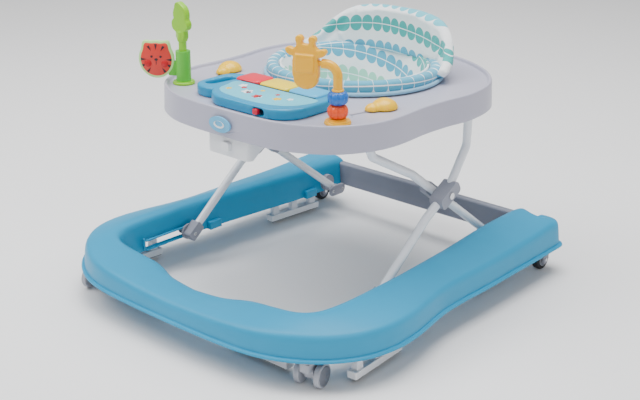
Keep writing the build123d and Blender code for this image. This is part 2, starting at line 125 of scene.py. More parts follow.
def grid_piece(name, rows, material, body, close_rows=False, close_columns=False, caps=False):
    """A surface through rows of points; caps close the first and last rows."""
    columns = len(rows[0])
    faces = grid_faces(len(rows), columns, close_rows, close_columns)
    if caps:
        faces.append(tuple(range(columns))[::-1])
        faces.append(tuple((len(rows) - 1) * columns + c for c in range(columns)))
    return mesh_piece(name, [p for row in rows for p in row], faces, material, body)


def smooth_subdivision(piece, levels=2):
    """A subdivision surface modifier."""
    modifier = piece.modifiers.new("smooth", "SUBSURF")
    modifier.levels = levels
    modifier.render_levels = levels
    return piece


def spline(points, steps, closed=False):
    """Points along a Catmull-Rom curve through control points of any size."""
    out = []
    count = len(points)
    for i in range(count if closed else count - 1):
        def control(k):
            return points[k % count] if closed else points[min(max(k, 0), count - 1)]
        a, b, c, d = (control(i + k) for k in (-1, 0, 1, 2))
        for s in range(steps):
            t = s / steps
            out.append(tuple(0.5 * (2 * q + (r - p) * t + (2 * p - 5 * q + 4 * r - w) * t * t
                                    + (3 * q - p - 3 * r + w) * t ** 3) for p, q, r, w in zip(a, b, c, d)))
    if not closed:
        out.append(tuple(points[-1]))
    return out


def mirrored(half):
    """A half outline and its mirror image."""
    return half + [(-x, y) for x, y in reversed(half) if x > 0]


def tube_rows(path, radius, sides=16):
    """Rings of points round a path, for a round bar whose radius may change along it."""
    rows = []
    for i, point in enumerate(path):
        here = Vector(point)
        ahead = Vector(path[min(i + 1, len(path) - 1)]) - Vector(path[max(i - 1, 0)])
        ahead.normalize()
        side = ahead.cross(Vector((0, 0, 1)))
        if side.length < 0.05:
            side = ahead.cross(Vector((0, 1, 0)))
        side.normalize()
        up = side.cross(ahead)
        r = radius(i) if callable(radius) else radius
        rows.append([here + side * r * math.cos(a) + up * r * math.sin(a)
                     for a in (2 * math.pi * k / sides for k in range(sides))])
    return rows


def lathe(name, profile, centre, material, body, axis="Z", sides=48, flute=0, flutes=8):
    """A turned shape from (radius, height) points; flute sinks shallow grooves into its side."""
    rows = []
    for radius, height in profile:
        ring = []
        for k in range(sides):
            a = 2 * math.pi * k / sides
            r = radius * (1 - flute * (0.5 + 0.5 * math.cos(flutes * a)) ** 6)
            flat = (r * math.cos(a), r * math.sin(a))
            offset = (flat[0], flat[1], height) if axis == "Z" else (height, flat[0], flat[1])
            ring.append(Vector(centre) + Vector(offset))
        rows.append(ring)
    return grid_piece(name, rows, material, body, close_columns=True, caps=True)


# ---------------------------------------------------------------- materials
def shader(name):
    """A new material with its Principled shader."""
    material = bpy.data.materials.new(name)
    material.use_nodes = True
    return material, material.node_tree, material.node_tree.nodes["Principled BSDF"]


def add_node(tree, kind, **settings):
    """A shader node with its settings."""
    node = tree.nodes.new(kind)
    for key, value in settings.items():
        if hasattr(node, key):
            setattr(node, key, value)
        else:
            node.inputs[key.replace("_", " ")].default_value = value
    return node


def calc(tree, operation, first, second=None, third=None):
    """One math step; inputs are sockets or numbers."""
    node = tree.nodes.new("ShaderNodeMath")
    node.operation = operation
    for index, value in enumerate((first, second, third)):
        if value is None:
            continue
        if isinstance(value, (int, float)):
            node.inputs[index].default_value = value
        else:
            tree.links.new(value, node.inputs[index])
    return node.outputs[0]


def mix_colour(tree, factor, first, second):
    """A blend of two colours; each is a socket or a colour."""
    node = tree.nodes.new("ShaderNodeMix")
    node.data_type = "RGBA"
    for index, value in ((0, factor), (6, first), (7, second)):
        if isinstance(value, (int, float, tuple)):
            node.inputs[index].default_value = value
        else:
            tree.links.new(value, node.inputs[index])
    return node.outputs[2]


def place(tree):
    """Position in the piece's own frame, in metres."""
    return tree.nodes.new("ShaderNodeTexCoord").outputs["Object"]


def noise(tree, scale, detail=3):
    """Noise over the piece's own coordinates."""
    node = add_node(tree, "ShaderNodeTexNoise")
    node.inputs["Scale"].default_value = scale
    node.inputs["Detail"].default_value = detail
    tree.links.new(place(tree), node.inputs["Vector"])
    return node.outputs["Fac"]


def bump(tree, shader_node, height, strength, distance):
    """Fine relief on a shader from a height value."""
    node = add_node(tree, "ShaderNodeBump")
    node.inputs["Strength"].default_value = strength
    node.inputs["Distance"].default_value = distance
    tree.links.new(height, node.inputs["Height"])
    tree.links.new(node.outputs["Normal"], shader_node.inputs["Normal"])


def painted_edge_highlight(tree, colour, highlight_colour, amount):
    """A colour that lightens a little along convex edges: a painted highlight where the edges catch the light.
    """
    geometry = tree.nodes.new("ShaderNodeNewGeometry")
    edge = calc(tree, "MULTIPLY", calc(tree, "SUBTRACT", geometry.outputs["Pointiness"], 0.52), 8)
    node = tree.nodes.new("ShaderNodeClamp")
    tree.links.new(edge, node.inputs[0])
    return mix_colour(tree, calc(tree, "MULTIPLY", node.outputs[0], amount), colour, highlight_colour)


def plastic(name, colour, roughness=0.35, grain=900, grain_strength=0.06, coat=0.0, shade=0.06,
            subsurface=0.0):
    """Moulded plastic: slight tone drift, fine moulding grain and a painted highlight along convex edges."""
    material, tree, node = shader(name)
    drift = noise(tree, 9, 2)
    dark = tuple(c * (1 - shade) for c in colour[:3]) + (1,)
    light = tuple(min(1, c * (1 + shade) + 0.01) for c in colour[:3]) + (1,)
    toned = mix_colour(tree, drift, dark, light)
    # Painted highlight: the colour lightens along convex edges, where light would catch them.
    tree.links.new(painted_edge_highlight(tree, toned, tuple(min(1, c * 1.25 + 0.03) for c in colour[:3]) + (1,), 0.5),
                   node.inputs["Base Color"])
    rough = calc(tree, "MULTIPLY_ADD", noise(tree, 40, 4), 0.12, roughness - 0.06)
    tree.links.new(rough, node.inputs["Roughness"])
    node.inputs["Specular IOR Level"].default_value = 0.3
    node.inputs["Coat Weight"].default_value = coat
    node.inputs["Coat Roughness"].default_value = 0.12
    node.inputs["Subsurface Weight"].default_value = subsurface
    node.inputs["Subsurface Scale"].default_value = 0.004
    bump(tree, node, noise(tree, grain, 2), grain_strength, 0.0004)
    return material


def metal(name, colour, roughness):
    """Bare or plated steel with a fine grain."""
    material, tree, node = shader(name)
    node.inputs["Metallic"].default_value = 1
    tone = mix_colour(tree, noise(tree, 60, 4), tuple(c * 0.85 for c in colour[:3]) + (1,), colour)
    tree.links.new(tone, node.inputs["Base Color"])
    dull = calc(tree, "MULTIPLY_ADD", noise(tree, 200, 5), 0.2, roughness - 0.1)
    tree.links.new(dull, node.inputs["Roughness"])
    bump(tree, node, noise(tree, 1500, 2), 0.08, 0.0002)
    return material


def rubber(name, colour):
    """Dull rubber with a pebbled skin and patches of lighter dust."""
    material, tree, node = shader(name)
    tone = mix_colour(tree, noise(tree, 70, 5), colour, tuple(c * 1.6 + 0.01 for c in colour[:3]) + (1,))
    tree.links.new(tone, node.inputs["Base Color"])
    node.inputs["Roughness"].default_value = 0.75
    bump(tree, node, noise(tree, 1100, 3), 0.25, 0.0005)
    return material


def scallop_cloth(name, row_height, scallop, tilt=0.0, offset=0.0, order=0):
    """Printed woven cloth: rows of paired scallops along a fine white line, round the seat's centre.
    The print is laid by angle round the seat and by height and distance out, so it needs no unwrapping."""
    material, tree, node = shader(name)
    split = tree.nodes.new("ShaderNodeSeparateXYZ")
    tree.links.new(place(tree), split.inputs[0])
    x, y, z = split.outputs
    y = calc(tree, "SUBTRACT", y, SEAT_Y * MM)
    around = calc(tree, "ARCTAN2", x, y)
    along = calc(tree, "MULTIPLY", around, SEAT_RX * MM)
    out = calc(tree, "SQRT", calc(tree, "ADD", calc(tree, "MULTIPLY", x, x), calc(tree, "MULTIPLY", y, y)))
    across = calc(tree, "ADD", z, calc(tree, "MULTIPLY", out, 0.35))
    across = calc(tree, "ADD", across, calc(tree, "MULTIPLY", along, tilt))
    wave = calc(tree, "MULTIPLY", calc(tree, "SINE", calc(tree, "MULTIPLY", along, 14)), 0.004)
    across = calc(tree, "ADD", calc(tree, "ADD", across, wave), offset)
    row = calc(tree, "DIVIDE", across, row_height)
    row_index = calc(tree, "FLOOR", row)
    height = calc(tree, "MULTIPLY", calc(tree, "SUBTRACT", calc(tree, "FRACT", row), 0.5), row_height)
    shifted = calc(tree, "ADD", calc(tree, "DIVIDE", along, scallop), calc(tree, "MULTIPLY", row_index, 0.37))
    step = calc(tree, "MULTIPLY", calc(tree, "SUBTRACT", calc(tree, "FRACT", shifted), 0.5), scallop)
    lift = calc(tree, "SUBTRACT", calc(tree, "ABSOLUTE", height), scallop * 0.1)
    lift = calc(tree, "MAXIMUM", lift, 0.0)
    squares = calc(tree, "ADD", calc(tree, "MULTIPLY", step, step), calc(tree, "MULTIPLY", lift, lift))
    reach = calc(tree, "SQRT", squares)
    inside = add_node(tree, "ShaderNodeMapRange")
    inside.inputs["From Min"].default_value = scallop * 0.50
    inside.inputs["From Max"].default_value = scallop * 0.47
    tree.links.new(reach, inside.inputs["Value"])
    line = calc(tree, "GREATER_THAN", calc(tree, "ABSOLUTE", height), 0.0009)
    cover = calc(tree, "MULTIPLY", inside.outputs[0], line)
    hues = [srgb(96, 196, 214), srgb(150, 214, 190), srgb(78, 172, 204), srgb(52, 172, 168)]
    choice = calc(tree, "MODULO", calc(tree, "ADD", row_index, 400 + order), 4)
    tint = hues[0]
    for index in (1, 2, 3):
        tint = mix_colour(tree, calc(tree, "GREATER_THAN", choice, index - 0.5), tint, hues[index])
    soft = noise(tree, 25, 3)
    ground = mix_colour(tree, soft, srgb(236, 244, 248), srgb(250, 252, 252))
    tree.links.new(mix_colour(tree, cover, ground, tint), node.inputs["Base Color"])
    weave_finish(tree, node)
    return material


def weave_finish(tree, node):
    """Plain weave, soft creasing and the sheen of cotton."""
    node.inputs["Roughness"].default_value = 0.85
    node.inputs["Sheen Weight"].default_value = 0.25
    node.inputs["Sheen Roughness"].default_value = 0.5
    split = tree.nodes.new("ShaderNodeSeparateXYZ")
    tree.links.new(place(tree), split.inputs[0])
    threads = None
    for axis in split.outputs:
        strand = calc(tree, "SINE", calc(tree, "MULTIPLY", axis, 2 * math.pi / 0.0011))
        threads = strand if threads is None else calc(tree, "MULTIPLY", threads, strand)
    folds = calc(tree, "MULTIPLY", noise(tree, 38, 4), 4)
    bump(tree, node, calc(tree, "ADD", calc(tree, "MULTIPLY", threads, 0.3), folds), 0.45, 0.0014)


def plain_cloth(name, colour):
    """Plain woven cloth in one colour."""
    material, tree, node = shader(name)
    tone = mix_colour(tree, noise(tree, 90, 4), tuple(c * 0.9 for c in colour[:3]) + (1,), colour)
    tree.links.new(tone, node.inputs["Base Color"])
    weave_finish(tree, node)
    return material


BASE_BLUE = plastic("base_plastic", srgb(0, 146, 190), 0.42, grain=700, grain_strength=0.1, shade=0.04)
TRAY_GREY = plastic("tray_plastic", srgb(176, 175, 192), 0.33, grain=800, coat=0.15, shade=0.03)
GREY = plastic("grey_plastic", srgb(138, 140, 152), 0.45, grain=600, grain_strength=0.12)
DARK_GREY = plastic("crossbar_plastic", srgb(122, 126, 140), 0.45, grain=600, grain_strength=0.12)
WHEEL_GREY = plastic("caster_plastic", srgb(168, 171, 180), 0.42)
WHEEL_DARK = plastic("caster_face_plastic", srgb(112, 116, 126), 0.5)
WHITE = plastic("white_plastic", srgb(236, 238, 242), 0.4)
TUBE_WHITE = plastic("painted_tube", srgb(232, 236, 243), 0.22, grain=1400, grain_strength=0.04, coat=0.5)
STEEL = metal("bright_steel", (0.72, 0.72, 0.74, 1), 0.3)
PAD_BLACK = rubber("pad_rubber", (0.02, 0.02, 0.022, 1))
TYRE_BLACK = rubber("tyre_rubber", (0.012, 0.012, 0.014, 1))
YELLOW = plastic("toy_yellow", srgb(250, 182, 0), 0.3, coat=0.3, subsurface=0.15)
PALE_YELLOW = plastic("bug_yellow", srgb(250, 196, 10), 0.3, coat=0.3, subsurface=0.15)
ORANGE = plastic("bead_orange_plastic", srgb(250, 84, 24), 0.28, coat=0.3)
BLUE = plastic("bead_blue_plastic", srgb(0, 104, 196), 0.26, coat=0.4)
LIME = plastic("leaf_lime", srgb(140, 206, 16), 0.32, coat=0.3, subsurface=0.1)
GREEN = plastic("sleeve_green", srgb(84, 186, 40), 0.34, coat=0.2)
PALE_GREEN = plastic("plate_rim_green", srgb(190, 240, 150), 0.35)
PLATE_RED = plastic("plate_red", srgb(220, 60, 48), 0.35)
CHEEK_RED = plastic("cheek_red", srgb(196, 12, 24), 0.35)
INK = plastic("print_black", srgb(42, 38, 44), 0.5)
PANEL_BLUE = plastic("panel_blue", srgb(0, 146, 192), 0.3, coat=0.2)
SKY = plastic("sticker_sky", srgb(96, 196, 220), 0.35)
KEY_PINK = plastic("key_pink_plastic", srgb(230, 30, 62), 0.32, coat=0.2)
KEY_YELLOW = plastic("key_yellow_plastic", srgb(248, 216, 40), 0.32, coat=0.2)
KEY_SKY = plastic("key_sky_plastic", srgb(60, 176, 226), 0.32, coat=0.2)
SWITCH_RED = plastic("switch_red_plastic", srgb(216, 22, 52), 0.3, coat=0.4)
BADGE_BLUE = plastic("badge_sky", srgb(90, 172, 212), 0.35)
BACK_CLOTH = scallop_cloth("back_cloth", 0.047, 0.026, offset=0.016, order=1)
ROLL_CLOTH = scallop_cloth("roll_cloth", 0.047, 0.026, offset=0.006, order=1)
POCKET_CLOTH = scallop_cloth("pocket_cloth", 0.048, 0.028, tilt=0.16, offset=0.004, order=2)
PIPING = plain_cloth("piping_cloth", srgb(140, 196, 226))
SEAM_TEAL = plain_cloth("seam_teal", srgb(30, 120, 124))

CAD_MATERIALS = {
    "base_shell": BASE_BLUE, "rear_crossbar": DARK_GREY, "rear_brackets": GREY, "tray_top": TRAY_GREY,
    "stoppers_front": WHITE, "stoppers_side_front": WHITE, "stoppers_side_rear": WHITE,
    "stopper_pads": PAD_BLACK, "latch_housing": WHITE, "latch_button": WHITE, "latch_sleeve": WHITE,
    "tray_pivot_blocks": WHITE, "caster_bushes": STEEL, "rear_pivot_pins": STEEL, "tray_pivot_pins": STEEL,
    "badge": BADGE_BLUE, "panel_case": PANEL_BLUE, "panel_base": PANEL_BLUE, "key_red": KEY_PINK,
    "key_yellow": KEY_YELLOW, "key_blue": KEY_SKY, "power_switch": SWITCH_RED, "giraffe_arm": YELLOW,
    "giraffe_head": YELLOW, "bead_orange": ORANGE, "bead_blue": BLUE, "tree_post": LIME, "tree_crown": LIME,
    "animal_spinner": GREEN, "slider_toy_left": PALE_YELLOW, "slider_toy_right": PALE_YELLOW,
    "seat_ring": ROLL_CLOTH, "seat_pocket": POCKET_CLOTH, "seat_back": BACK_CLOTH}
SIDES = {"left": -1, "right": 1}
for word in SIDES:
    CAD_MATERIALS.update({
        f"leg_a_{word}": TUBE_WHITE, f"leg_b_{word}": TUBE_WHITE, f"hub_inner_{word}": GREY,
        f"hub_outer_{word}": GREY, f"hub_rivet_{word}": STEEL, f"sliding_foot_{word}": GREY,
        f"fork_front_{word}": WHEEL_GREY, f"fork_rear_{word}": GREY, f"axle_front_{word}": STEEL,
        f"axle_rear_{word}": STEEL, f"wheels_front_{word}": WHEEL_GREY, f"wheel_rear_{word}": WHEEL_GREY,
        f"tyre_rear_{word}": TYRE_BLACK})


def dress_cad():
    """Every CAD node gets its procedural material."""
    for name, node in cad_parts.items():
        for place_for_material in node.material_slots:
            place_for_material.material = CAD_MATERIALS[name]


# ---------------------------------------------------------------- base
def base_profile(outer, inner, outer_crest, ridge, inner_crest):
    """One cross-section of the base skin, from the outer lip over the top to the inner edge."""
    outer = Vector(outer)
    inner = Vector(inner)
    width = (inner - outer).length
    low = BASE_LOW
    spots = [(0.0, low), (0.0, low + 2), (0.6, low + 3), (4.6, low + 3), (5.4, low + 4), (6.0, low + 8),
             (8.0, outer_crest - 12), (9.5, outer_crest - 5), (13, outer_crest - 1.2), (19, outer_crest + 0.8),
             (width * 0.42, outer_crest + (ridge - outer_crest) * 0.5), (width - 30, ridge - 1.5),
             (width - 21, ridge), (width - 13, inner_crest), (width - 8, inner_crest - 4),
             (width - 5.6, inner_crest - 12), (width - 3.5, low + 8), (width - 3, low + 2), (width - 3, low)]
    across = (inner - outer) / width
    return [((outer + across * s).x, (outer + across * s).y, z) for s, z in spots]


def make_base():
    """The base skin: stations round the U, closed by a squared, rounded end on each arm."""
    flat = [(*o, *i, *heights) for o, i, *heights in BASE_STATIONS]
    fine = spline(flat, 4)
    half = [base_profile(v[0:2], v[2:4], *v[4:7]) for v in fine]
    last = fine[-1]
    middle = (last[0] + last[2]) / 2
    arm = half[-1]
    ends = []
    for step in range(1, 11):
        turn = math.pi / 2 * step / 10
        narrow = math.cos(turn) ** 0.45
        push = math.sin(turn) ** 0.45
        ring = []
        for (x, y, z), (_, _, other) in zip(arm, reversed(arm)):
            reach = x - middle
            level = z + (min(z, other) - z) * math.sin(turn) ** 2
            ring.append((middle + reach * narrow, y + abs(reach) * push * 0.93, level))
        ends.append(ring)
    right = half + ends
    left = [[(-x, y, z) for x, y, z in row] for row in reversed(right[1:])]
    shell = grid_piece("base_skin", left + right, BASE_BLUE, "base")
    thick = shell.modifiers.new("wall", "SOLIDIFY")
    thick.thickness = 0.0026
    thick.offset = -1
    smooth_subdivision(shell, 1)
    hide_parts("base_shell")
    for word, side in SIDES.items():
        cut = shell.modifiers.new(f"guide_{word}", "BOOLEAN")
        cut.object = guide_cutter(f"guide_cutter_{word}", side)
        cut.solver = "EXACT"
    apply_modifiers(shell)
    for word, side in SIDES.items():
        make_wall_details(word, side)
    return shell


def guide_cutter(name, side):
    """A hidden stadium-shaped bar that cuts the sliding foot's slot into the inner wall."""
    rim = []
    for k in range(24):
        a = 2 * math.pi * k / 24
        y = (SLIDER_Y + 2 if math.sin(a) > 0 else SLIDER_Y - SLOT_TRAVEL - 2) + 6.4 * math.sin(a)
        rim.append((y, PIVOT_Z + 6.4 * math.cos(a)))
    points = [(side * x, y, z) for x in (224, 262) for y, z in rim]
    faces = grid_faces(2, 24, False, True) + [tuple(range(24))[::-1], tuple(range(24, 48))]
    mesh = bpy.data.meshes.new(name)
    mesh.from_pydata([Vector(p) * MM for p in points], [], faces)
    cutter = bpy.data.objects.new(name, mesh)
    bpy.context.scene.collection.objects.link(cutter)
    return cutter


def rounded_box(name, centre, size, radius, material, body, turn=0.0):
    """A box with rounded edges, turned about the vertical."""
    half = [max(s / 2 - radius, 0.01) for s in size]
    axis = Vector((math.cos(turn), math.sin(turn), 0))
    across = Vector((-math.sin(turn), math.cos(turn), 0))
    rows = []
    steps = 4
    for level in range(2 * (steps + 1)):
        top = level > steps
        tilt = math.pi / 2 * ((level - steps - 1) / steps if top else level / steps - 1)
        z = (half[2] if top else -half[2]) + radius * math.sin(tilt)
        ring = []
        for corner in range(4):
            for k in range(steps + 1):
                a = math.pi / 2 * (corner + k / steps)
                sx = 1 if corner in (0, 3) else -1
                sy = 1 if corner in (0, 1) else -1
                u = sx * half[0] + radius * math.cos(tilt) * math.cos(a)
                v = sy * half[1] + radius * math.cos(tilt) * math.sin(a)
                ring.append(Vector(centre) + axis * u + across * v + Vector((0, 0, z)))
        rows.append(ring)
    return grid_piece(name, rows, material, body, close_columns=True, caps=True)


def make_wall_details(word, side):
    """The raised frame round the guide slot, its keyed front end and two clip tabs on the inner wall."""
    wall = 238.5
    y0, y1 = SLIDER_Y - SLOT_TRAVEL - 2, SLIDER_Y + 2
    for place_name, z in (("upper", PIVOT_Z + 9), ("lower", PIVOT_Z - 9)):
        rounded_box(f"slot_rail_{place_name}_{word}", (side * wall, (y0 + y1) / 2, z),
                    (4, y1 - y0 + 12, 3.4), 1.2, BASE_BLUE, "base")
    rounded_box(f"slot_key_{word}", (side * wall, y0 - 10, PIVOT_Z + 4), (4, 5, 22), 1.5, BASE_BLUE, "base")
    for k, (y, x) in enumerate(((-24, 236), (224, 213))):
        rounded_box(f"wall_tab_{k}_{word}", (side * x, y, 57), (12, 30, 16), 2, BASE_BLUE, "base")


# ---------------------------------------------------------------- tray
def tray_loop(inset, count=160):
    """Points of the tray's outline drawn in by the inset, one for each bearing from the seat's centre."""
    fine = spline(mirrored(TRAY_HALF), 12, closed=True)
    drawn = []
    for i, (x, y) in enumerate(fine):
        x0, y0 = fine[i - 1]
        x1, y1 = fine[(i + 1) % len(fine)]
        run = math.hypot(x1 - x0, y1 - y0)
        drawn.append((x - inset * (y1 - y0) / run, y + inset * (x1 - x0) / run))
    bearings = sorted((math.atan2(y - SEAT_Y, x), x, y) for x, y in drawn)
    loop = []
    for k in range(count):
        want = -math.pi + 2 * math.pi * (k + 0.5) / count
        above = next((i for i, b in enumerate(bearings) if b[0] >= want), 0)
        a0, x0, y0 = bearings[above - 1]
        a1, x1, y1 = bearings[above]
        span = (a1 - a0) % (2 * math.pi)
        share = ((want - a0) % (2 * math.pi)) / span
        loop.append((x0 + (x1 - x0) * share, y0 + (y1 - y0) * share))
    return loop


def seat_loop(rx, ry, count=160):
    """Points of the seat's oval at the same bearings as tray_loop."""
    loop = []
    for k in range(count):
        a = -math.pi + 2 * math.pi * (k + 0.5) / count
        r = rx * ry / math.hypot(ry * math.cos(a), rx * math.sin(a))
        loop.append((r * math.cos(a), SEAT_Y + r * math.sin(a)))
    return loop


def make_tray():
    """The tray: floor, rounded rim and skirt in one skin."""
    low, top, floor = TRAY_LOW, TRAY_TOP, TRAY_FLOOR
    hole = seat_loop(142, 135)
    rim = [(9.2, floor + 1.0), (8.4, floor + 3.2), (7.4, top - 1.0), (6.0, top - 0.2), (4.4, top),
           (3.0, top - 0.5), (2.1, top - 1.8), (1.9, top - 4)]
    skirt = [(1.4, top - 14), (0.5, low + 6), (0.1, low + 1.6), (0.1, low + 0.4), (0.6, low), (2.6, low),
             (3.0, low + 1), (3.6, low + 12), (5.0, floor - 6), (7.0, floor - 3.2)]
    inner_floor = tray_loop(24)
    lip = [(x * 1.01, SEAT_Y + (y - SEAT_Y) * 1.01) for x, y in hole]
    rows = [[(x, y, floor) for x, y in hole], [(x, y, floor) for x, y in lip]]
    for share in (0.35, 0.7):
        rows.append([(a + (c - a) * share, b + (d - b) * share, floor)
                     for (a, b), (c, d) in zip(hole, inner_floor)])
    for inset in (24, 14, 10.6):
        rows.append([(x, y, floor) for x, y in tray_loop(inset)])
    for inset, z in rim + skirt:
        rows.append([(x, y, z) for x, y in tray_loop(inset)])
    for loop in (inner_floor, lip, hole):
        rows.append([(x, y, floor - TRAY_WALL) for x, y in loop])
    tray = grid_piece("tray_skin", rows, TRAY_GREY, "tray", close_rows=True, close_columns=True)
    smooth_subdivision(tray, 1)
    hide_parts("tray_top")
    for word, side in SIDES.items():
        cutter = bar_cutter(f"slot_cutter_{word}", side)
        cut = tray.modifiers.new(f"slot_{word}", "BOOLEAN")
        cut.object = cutter
        cut.solver = "EXACT"
    apply_modifiers(tray)
    return tray


def bar_cutter(name, side):
    """A hidden box that cuts one toy slot."""
    turn = math.radians(15) * side
    centre = Vector((side * 180, -27, TRAY_FLOOR))
    along = Vector((-math.sin(turn), -math.cos(turn), 0))
    out = Vector((math.cos(turn), -math.sin(turn), 0))
    points = []
    for a in (-14, 64):
        for b in (-1.8, 1.8):
            for c in (-10, 10):
                points.append(centre + along * a + out * b + Vector((0, 0, c)))
    faces = [(0, 1, 3, 2), (4, 6, 7, 5), (0, 4, 5, 1), (2, 3, 7, 6), (0, 2, 6, 4), (1, 5, 7, 3)]
    mesh = bpy.data.meshes.new(name)
    mesh.from_pydata([p * MM for p in points], [], faces)
    cutter = bpy.data.objects.new(name, mesh)
    bpy.context.scene.collection.objects.link(cutter)
    return cutter


def apply_modifiers(piece):
    """Bakes the modifiers into the mesh and removes any hidden cutters."""
    cutters = [m.object for m in piece.modifiers if m.type == "BOOLEAN"]
    graph = bpy.context.evaluated_depsgraph_get()
    baked = bpy.data.meshes.new_from_object(piece.evaluated_get(graph))
    piece.modifiers.clear()
    piece.data = baked
    for cutter in cutters:
        bpy.data.objects.remove(cutter)


def softened(node, name, material, body, voxel, rounds):
    """A copy of a CAD node's mesh with its sharp edges softened, standing in for the node."""
    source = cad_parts[node]
    mesh = source.data.copy()
    mesh.materials.clear()
    mesh.materials.append(material)
    piece = bpy.data.objects.new(name, mesh)
    bpy.context.scene.collection.objects.link(piece)
    remesh = piece.modifiers.new("even", "REMESH")
    remesh.mode = "VOXEL"
    remesh.voxel_size = voxel * MM
    remesh.use_smooth_shade = True
    soften = piece.modifiers.new("soften", "SMOOTH")
    soften.factor = 0.5
    soften.iterations = rounds
    apply_modifiers(piece)
    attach(piece, body)
    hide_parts(node)
    return piece


# ---------------------------------------------------------------- seat
def around_seat(angle, rx, ry):
    """A point of an oval round the seat's centre; angle 0 is the rear middle."""
    return (rx * math.sin(angle), SEAT_Y + ry * math.cos(angle))


def puff(piece, cap=0.004):
    """Inflates a closed cushion a little as cloth under pressure, so that it bulges between its seams."""
    remesh = piece.modifiers.new("even", "REMESH")
    remesh.mode = "VOXEL"
    remesh.voxel_size = 0.0048
    remesh.use_smooth_shade = True
    apply_modifiers(piece)
    start = [v.co.copy() for v in piece.data.vertices]
    cloth = piece.modifiers.new("cloth", "CLOTH")
    cloth.settings.use_pressure = True
    cloth.settings.uniform_pressure_force = 4
    cloth.settings.quality = 6
    cloth.settings.mass = 0.2
    cloth.settings.tension_stiffness = 12
    cloth.settings.compression_stiffness = 12
    cloth.settings.effector_weights.gravity = 0
    cloth.point_cache.frame_start = 1
    cloth.point_cache.frame_end = 20
    scene = bpy.context.scene
    for step in range(1, 21):
        scene.frame_set(step)
    apply_modifiers(piece)
    scene.frame_set(1)
    for vertex, was in zip(piece.data.vertices, start):
        moved = vertex.co - was
        if moved.length > cap:
            vertex.co = was + moved * (cap / moved.length)
    smooth_subdivision(piece, 1)


def arch_top(y):
    """Height of the backrest's edge at a distance along the walker."""
    arch = [(140, 394), (165, 402), (189, 416), (205, 433), (220, 449), (235, 464), (252, 476)]
    for (y0, z0), (y1, z1) in zip(arch, arch[1:]):
        if y <= y1:
            return z0 + (z1 - z0) * max(0, y - y0) / (y1 - y0)
    return arch[-1][1]


def back_point(turn, inset):
    """Plan of the backrest: a rounded-square arc outside that eases to the seat's oval inside."""
    reach = math.copysign(abs(math.sin(turn)) ** BACK_POWER, math.sin(turn))
    return ((BACK_RX - inset) * reach, SEAT_Y + (BACK_RY - inset) * math.cos(turn) ** BACK_POWER)


def make_seat_back():
    """The padded backrest: an arched wall with a thick rolled edge, leaning out over the seat's roll."""
    rows = []
    for step in range(81):
        turn = math.radians(-78 + 156 * step / 80)
        _, y = back_point(turn, 0)
        top = arch_top(y)
        low = BACK_LOW
        tall = top - low
        roll = min(9, tall * 0.45)
        outside = [(7, low), (3, low + tall * 0.25), (0.5, low + tall * 0.55), (0, top - roll)]
        edge = [(1.6, top - roll * 0.4), (5.5, top - 0.5), (10, top), (15, top - 1), (18.5, top - roll * 0.5)]
        inside = [(19.5, top - roll), (18, top - roll * 1.6), (17.5, low + tall * 0.5),
                  (20, low + tall * 0.25), (24, low)]
        ring = []
        for inset, z in outside + edge + inside:
            x, y = back_point(turn, inset)
            ring.append((x, y, max(z, low)))
        rows.append(ring)
    back = grid_piece("seat_back_pad", rows, BACK_CLOTH, "tray",
                      close_columns=True, caps=True)
    puff(back)
    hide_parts("seat_back")


def make_seat_roll():
    """The padded roll round the seat's mouth, lying on the tray."""
    rows = []
    for step in range(120):
        angle = 2 * math.pi * step / 120
        ring = []
        for k in range(20):
            a = 2 * math.pi * k / 20
            wide = 11.5 * math.copysign(abs(math.cos(a)) ** 0.8, math.cos(a))
            tall = 12 * math.copysign(abs(math.sin(a)) ** 0.8, math.sin(a))
            gather = 0.35 * math.sin(angle * 46) * max(0, math.sin(a))
            x, y = around_seat(angle, 149 + wide, 142 + wide)
            ring.append((x, y, 384.5 + tall + gather))
        rows.append(ring)
    roll = grid_piece("seat_roll", rows, ROLL_CLOTH, "tray",
                      close_rows=True, close_columns=True)
    puff(roll, 0.0025)
    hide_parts("seat_ring")
    path = [(*around_seat(2 * math.pi * k / 120, 161.5, 154.5), 375.5) for k in range(120)]
    rows = tube_rows(path + path[:2], 3.6, 12)[1:-1]
    grid_piece("seat_piping", rows, PIPING, "tray", close_rows=True, close_columns=True)


def liner_point(angle, depth, inset=0.0):
    """A point of the inner seat: depth 0 at the mouth, 1 at the floor; the cloth dips along its seams."""
    z = MOUTH_Z - POCKET_DEEP * min(depth, 1)
    rx = 136.5 - POCKET_TAPER * depth
    ry = 129.5 - POCKET_TAPER * depth
    seam = math.exp(-(angle / 0.035) ** 2) + 0.8 * math.exp(-((depth - 0.04) / 0.025) ** 2)
    fold = 1.2 * math.sin(angle * 11 + depth * 4) * math.sin(math.pi * min(depth, 1))
    x, y = around_seat(angle, rx + 2.2 * seam + fold - inset, ry + 2.2 * seam + fold - inset)
    return (x, y, z)


